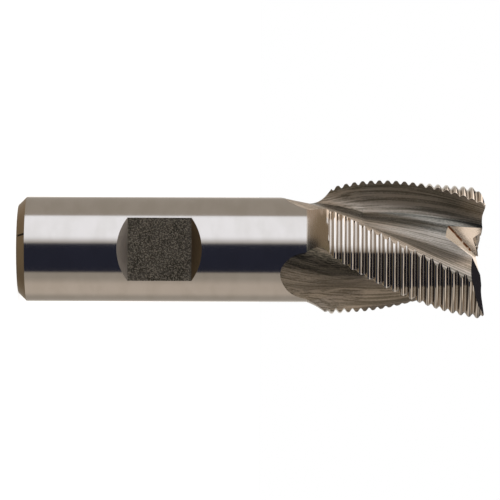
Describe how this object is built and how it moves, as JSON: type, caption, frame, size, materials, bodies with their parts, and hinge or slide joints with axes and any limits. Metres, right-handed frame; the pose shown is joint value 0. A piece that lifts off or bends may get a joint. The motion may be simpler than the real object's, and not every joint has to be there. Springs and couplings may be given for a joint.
{
  "type": "roughing end mill",
  "caption": "Helical roughing end mill with serrated teeth, a flared neck and a round shank with a ground clamping flat.",
  "frame": {"origin": "centre of the flat end face of the shank, on which the tool stands", "axes": "+Z along the tool's axis from the shank end to the cutting end; -Y out of the ground clamping flat"},
  "size_m": [0.025, 0.0252, 0.0846],
  "materials": {
    "ground_steel": "ground high-speed steel, bright"
  },
  "bodies": {
    "root": {"end_mill": "ground_steel"}
  },
  "joints": []
}
